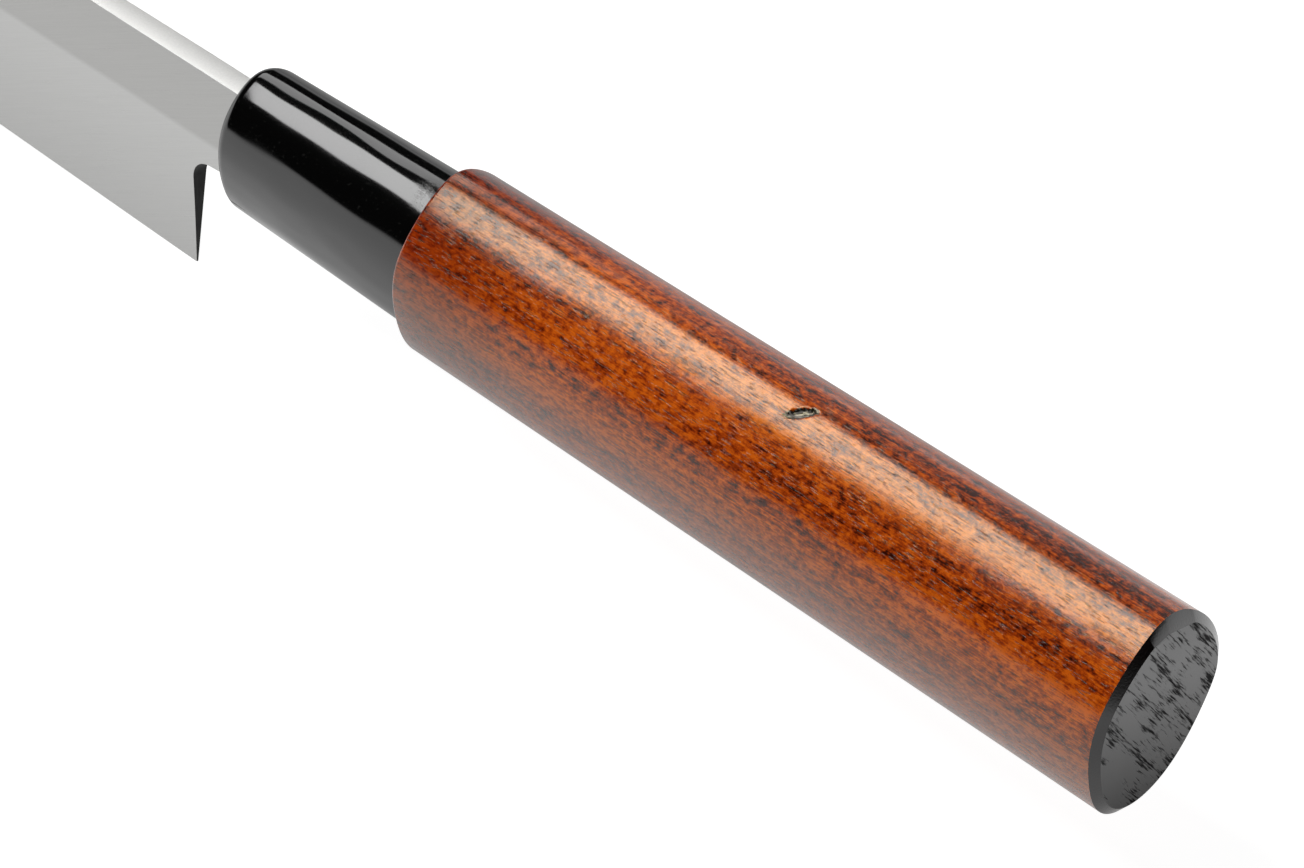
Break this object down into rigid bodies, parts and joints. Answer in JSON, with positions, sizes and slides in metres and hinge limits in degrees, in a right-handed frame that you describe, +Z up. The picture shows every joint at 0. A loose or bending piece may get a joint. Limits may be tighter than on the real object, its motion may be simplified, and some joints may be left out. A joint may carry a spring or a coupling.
{
  "type": "yanagiba knife",
  "caption": "Long narrow single-bevel slicing knife with a stepped heel, a tapered moulded ferrule and a D-section wooden handle.",
  "frame": {"origin": "under the middle of the knife's bounding box, at the level of the edge's lowest point", "axes": "+X from the blade's tip towards the handle's butt, +Y to the knife's right, the bevel's side, +Z up from the edge to the spine"},
  "size_m": [0.3872, 0.022, 0.037],
  "materials": {
    "blade_steel": "satin, ground along the blade",
    "ferrule_plastic": "gloss black",
    "mouth_resin": "smooth black",
    "handle_wood": "red-brown, clear satin lacquer, butt end painted black",
    "bedding_resin": "matte"
  },
  "bodies": {
    "root": {"blade": "blade_steel", "ferrule": "ferrule_plastic", "mouth_seal": "mouth_resin", "handle_body": "handle_wood", "tang_bedding": "bedding_resin"}
  },
  "joints": []
}
